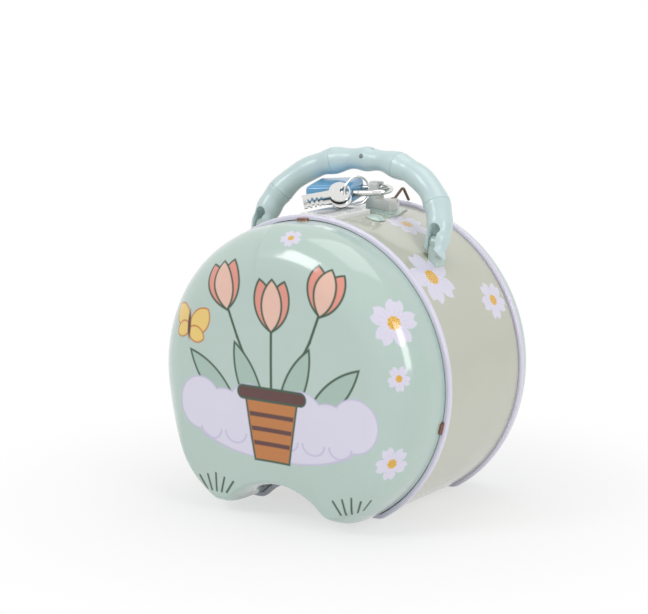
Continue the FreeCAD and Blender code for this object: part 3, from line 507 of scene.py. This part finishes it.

# %% [markdown]
# The ears, rivets and lock plate are plain mint tin. The handle is moulded in a bluer mint
# with a duller gloss. One dark dot near the middle is painted shade, standing in for the shade
# inside a small dimple where the mould was filled.

# %% Plain mint and the handle
plain_mint = finish("plain_mint_tin", MINT, 0.18, coat=0.5, tone=0.03)
dress(
    plain_mint,
    "handle_ear_left", "handle_ear_right", "slot_rivets", "lock_plate", "plate_rivets")
HANDLE_INK = ink(202, 223, 224)
# Place and radius of a dark dot of painted shade, for the shade inside a small dimple.
DIMPLE_SHADE_PLACE, DIMPLE_SHADE_RADIUS = (0.0001, 0.0150, 0.1672), 0.0012
moulded = finish(
    "handle_mint", HANDLE_INK, 0.3, coat=0.25, tone=0.04, grain=1400.0, ripple=0.05)
hx, hy, hz = (field - DIMPLE_SHADE_PLACE[k] for k, field in enumerate(axes(moulded)))
dimple_shade = hx.far(hy.far(hz)) * -1.0 + DIMPLE_SHADE_RADIUS
# The dark dot is painted shade: the shade of a small dimple, painted onto the handle.
print_over(moulded, dimple_shade.inside(0.0006), ink(96, 112, 112))
dress(moulded, "handle")

# %% [markdown]
# The padlock case is blue, in two halves that meet on a fine dark line. The line is where
# the height over the middle plane of the case is nothing, and that height is a dot product.

# %% Padlock case
LOCK_BLUE = ink(98, 168, 214)
LOCK_BORE = (0.004, 0.022743, 0.1513)
LOCK_FACE = (-0.0463, -0.1014, 0.9938)
PARTING_HALF = 0.00018
blue = finish(
    "padlock_blue", LOCK_BLUE, 0.16, coat=0.5, tone=0.08, grain=1200.0, ripple=0.03)
kx, ky, kz = ((field - LOCK_BORE[k]) * LOCK_FACE[k] for k, field in enumerate(axes(blue)))
parting = (kx + ky + kz).size() * -1.0 + PARTING_HALF
print_over(blue, parting.inside(0.0003) * 0.7, ink(40, 84, 120))
dress(blue, "padlock_case")

# %% [markdown]
# The slot's frame is a white moulding, and the post is nylon, which lets a little light into
# its surface. A small share of subsurface scattering gives it that milky look.

# %% White mouldings
SLOT_WHITE, NYLON_WHITE = ink(236, 236, 234), ink(242, 241, 236)
white = finish(
    "white_moulding", SLOT_WHITE, 0.26, coat=0.2, tone=0.02, grain=1500.0, ripple=0.008)
dress(white, "coin_slot_bezel")
nylon = finish("milky_nylon", NYLON_WHITE, 0.32, tone=0.02, grain=1500.0, ripple=0.01)
nylon_shader = nylon.node_tree.nodes["Principled BSDF"]
nylon_shader.inputs["Subsurface Weight"].default_value = 0.15
nylon_shader.inputs["Subsurface Radius"].default_value = (0.003, 0.003, 0.002)
dress(nylon, "lock_post")

# %% [markdown]
# Bare metals differ in colour and in how much handling has dulled them. One table lists
# each: its name, ink, roughness, metal share, change of tone, grain, ripple and pieces.

# %% Metals
for name, colour, rough, metal, tone, grain, ripple, pieces in (
    ("bright_plate", ink(222, 222, 220), 0.13, 1.0, 0.06, 2200.0, 0.012,
     ("padlock_shackle", "key_ring", "key_front", "key_back")),
    ("plain_steel", ink(176, 178, 180), 0.34, 1.0, 0.08, 1600.0, 0.08,
     ("hook_pin", "hinge_pin", "handle_pins", "lock_bolt", "bolt_spring")),
    ("bare_tinplate", ink(196, 198, 200), 0.3, 1.0, 0.06, 700.0, 0.05,
     ("neck_liner", "backing_strip")),
    ("copper_stake", ink(148, 106, 90), 0.36, 0.9, 0.1, 1800.0, 0.08, ("panel_clips",)),
    ("turned_brass", ink(200, 168, 98), 0.28, 1.0, 0.08, 1600.0, 0.06, ("lock_plug",)),
):
    metal_finish = finish(name, colour, rough, metal, tone=tone, grain=grain, ripple=ripple)
    dress(metal_finish, *pieces)

# %% [markdown]
# The hook is bent wire. Bare or rusty metal would be one way to read it, but its colour is
# an even brown with a soft gloss, so it is finished as painted wire, which is no metal.

# %% Brown wire
WIRE_BROWN = ink(104, 70, 50)
wire = finish("brown_wire", WIRE_BROWN, 0.4, coat=0.2, tone=0.1, grain=1500.0, ripple=0.05)
dress(wire, "latch_hook")

# %% [markdown]
# The floor is a white sheet. Seen by the camera it glows a little, and more so away from
# the box, so that it runs into the white backdrop. Close to the box it still takes shadow.

# %% Floor sheet
FLOOR_HALF, FLOOR_CELLS, FLOOR_DROP = 3.0, 20, 0.0004


def floor_sheet(half, cells, drop):
    """A flat square grid of the given half width, a hair under the feet."""
    line = np.linspace(-half, half, cells + 1)
    gx, gy = np.meshgrid(line, line)
    points = np.stack([gx, gy, np.full_like(gx, -drop)], -1).reshape(-1, 3)
    row = cells + 1
    k = np.arange(cells)
    corner = (k[:, None] * row + k[None, :]).ravel()
    faces = np.stack([corner, corner + 1, corner + row + 1, corner + row], -1)
    mesh = bpy.data.meshes.new("floor_sheet")
    mesh.from_pydata(points.tolist(), [], faces.tolist())
    piece = bpy.data.objects.new("floor_sheet", mesh)
    bpy.context.scene.collection.objects.link(piece)
    return piece


floor = floor_sheet(FLOOR_HALF, FLOOR_CELLS, FLOOR_DROP)
print("floor", len(floor.data.polygons), "faces")

# %% [markdown]
# The paper mixes a matt sheet with a plain glow. The glow counts only for rays that show a
# picture, straight from the camera, off a gloss or through glass, so it adds no light.

# %% White paper
GLOW_START, GLOW_FULL, GLOW_LEAST = 0.06, 0.22, 0.62


def picture_rays(tree):
    """1 for a ray from the camera, off a gloss or through glass, and 0 for the rest."""
    path = tree.nodes.new("ShaderNodeLightPath")
    camera_ray = Field(tree, path.outputs["Is Camera Ray"])
    glossy_ray = Field(tree, path.outputs["Is Glossy Ray"])
    glass_ray = Field(tree, path.outputs["Is Transmission Ray"])
    return camera_ray.above(glossy_ray).above(glass_ray)


paper = bpy.data.materials.new("white_paper")
paper.use_nodes = True
tree = paper.node_tree
sheet = tree.nodes["Principled BSDF"]
sheet.inputs["Base Color"].default_value = (0.9, 0.9, 0.9, 1.0)
sheet.inputs["Roughness"].default_value = 0.9
glow = tree.nodes.new("ShaderNodeEmission")
px, py = axes(paper)[:2]
out_from_box = px.far(py)
edge = tree.nodes.new("ShaderNodeMapRange")
edge.interpolation_type = "SMOOTHSTEP"
tree.links.new(out_from_box.socket, edge.inputs["Value"])
edge.inputs["From Min"].default_value = GLOW_START
edge.inputs["From Max"].default_value = GLOW_FULL
edge.inputs["To Min"].default_value = GLOW_LEAST
share = Field(tree, edge.outputs["Result"]) * picture_rays(tree)
both = tree.nodes.new("ShaderNodeMixShader")
tree.links.new(share.socket, both.inputs["Fac"])
tree.links.new(sheet.outputs["BSDF"], both.inputs[1])
tree.links.new(glow.outputs["Emission"], both.inputs[2])
tree.links.new(both.outputs["Shader"], tree.nodes["Material Output"].inputs["Surface"])
floor.data.materials.append(paper)
print("paper glows fully", GLOW_FULL, "m from the box")

# %% [markdown]
# The world is a white room. It lights the box softly, and where it is seen it is plain white,
# so two backgrounds are mixed by the kind of ray.

# %% World
WORLD_LIGHT, WORLD_SEEN = 0.5, 1.0
world = bpy.data.worlds.new("studio")
bpy.context.scene.world = world
world.use_nodes = True
sky = world.node_tree
plain = sky.nodes["Background"]
plain.inputs["Color"].default_value = (1.0, 1.0, 1.0, 1.0)
plain.inputs["Strength"].default_value = WORLD_LIGHT
backdrop = sky.nodes.new("ShaderNodeBackground")
backdrop.inputs["Color"].default_value = (1.0, 1.0, 1.0, 1.0)
backdrop.inputs["Strength"].default_value = WORLD_SEEN
blend = sky.nodes.new("ShaderNodeMixShader")
sky.links.new(picture_rays(sky).socket, blend.inputs["Fac"])
sky.links.new(plain.outputs["Background"], blend.inputs[1])
sky.links.new(backdrop.outputs["Background"], blend.inputs[2])
sky.links.new(blend.outputs["Shader"], sky.nodes["World Output"].inputs["Surface"])
print("world lights at", WORLD_LIGHT)

# %% [markdown]
# Three softboxes shape the gloss: one from the front left, one tall one from the right, and a
# wide one from above. An area lamp shines along its own minus Z, so each is turned to its aim.

# %% Softboxes


def softbox(name, place, aim, wide, tall, watts):
    """An area lamp at a place, turned to face the aim point."""
    lamp = bpy.data.lights.new(name, "AREA")
    lamp.shape = "RECTANGLE"
    lamp.size, lamp.size_y, lamp.energy = wide, tall, watts
    holder = bpy.data.objects.new(name, lamp)
    bpy.context.scene.collection.objects.link(holder)
    holder.location = place
    way = np.array(aim) - np.array(place)
    flat = math.hypot(way[0], way[1])
    tilt = math.atan2(flat, -way[2])
    swing = math.atan2(way[1], way[0]) - math.pi / 2
    holder.rotation_euler = (tilt, 0.0, swing)
    print(name, "at", place)


softbox("softbox_left", (-0.55, -1.0, 1.05), DRUM_MIDDLE, 0.5, 0.5, 5.0)
softbox("softbox_right", (1.25, -0.35, 0.55), DRUM_MIDDLE, 0.35, 0.7, 4.2)
softbox("softbox_top", (0.1, 0.2, 1.5), DRUM_MIDDLE, 1.0, 1.0, 4.6)

# %% [markdown]
# The camera stands about a metre away, to the right of the front and a little above. These
# angles and the lens were worked out from the rims of the drum in the picture.

# %% Camera
AZIMUTH, ELEVATION, DISTANCE = math.radians(34.0), math.radians(12.3), 1.0
FOCAL_PIXELS, IMAGE_WIDTH, IMAGE_HEIGHT = 2028.0, 648.0, 614.0
TARGET_PIXEL = (351.9, 361.8)
SENSOR_WIDTH = 36.0
away = np.array([
    math.sin(AZIMUTH) * math.cos(ELEVATION),
    -math.cos(AZIMUTH) * math.cos(ELEVATION),
    math.sin(ELEVATION),
])
camera_data = bpy.data.cameras.new("camera")
camera_data.sensor_fit = "HORIZONTAL"
camera_data.sensor_width = SENSOR_WIDTH
camera_data.lens = FOCAL_PIXELS / IMAGE_WIDTH * SENSOR_WIDTH
camera_data.shift_x = (IMAGE_WIDTH / 2 - TARGET_PIXEL[0]) / IMAGE_WIDTH
camera_data.shift_y = (TARGET_PIXEL[1] - IMAGE_HEIGHT / 2) / IMAGE_WIDTH
camera = bpy.data.objects.new("camera", camera_data)
bpy.context.scene.collection.objects.link(camera)
camera.location = np.array(DRUM_MIDDLE) + DISTANCE * away
camera.rotation_euler = (math.pi / 2 - ELEVATION, 0.0, AZIMUTH)
bpy.context.scene.camera = camera
bpy.context.scene.view_settings.view_transform = "Standard"
print("camera at", [round(c, 4) for c in camera.location], "lens", round(camera_data.lens, 1))
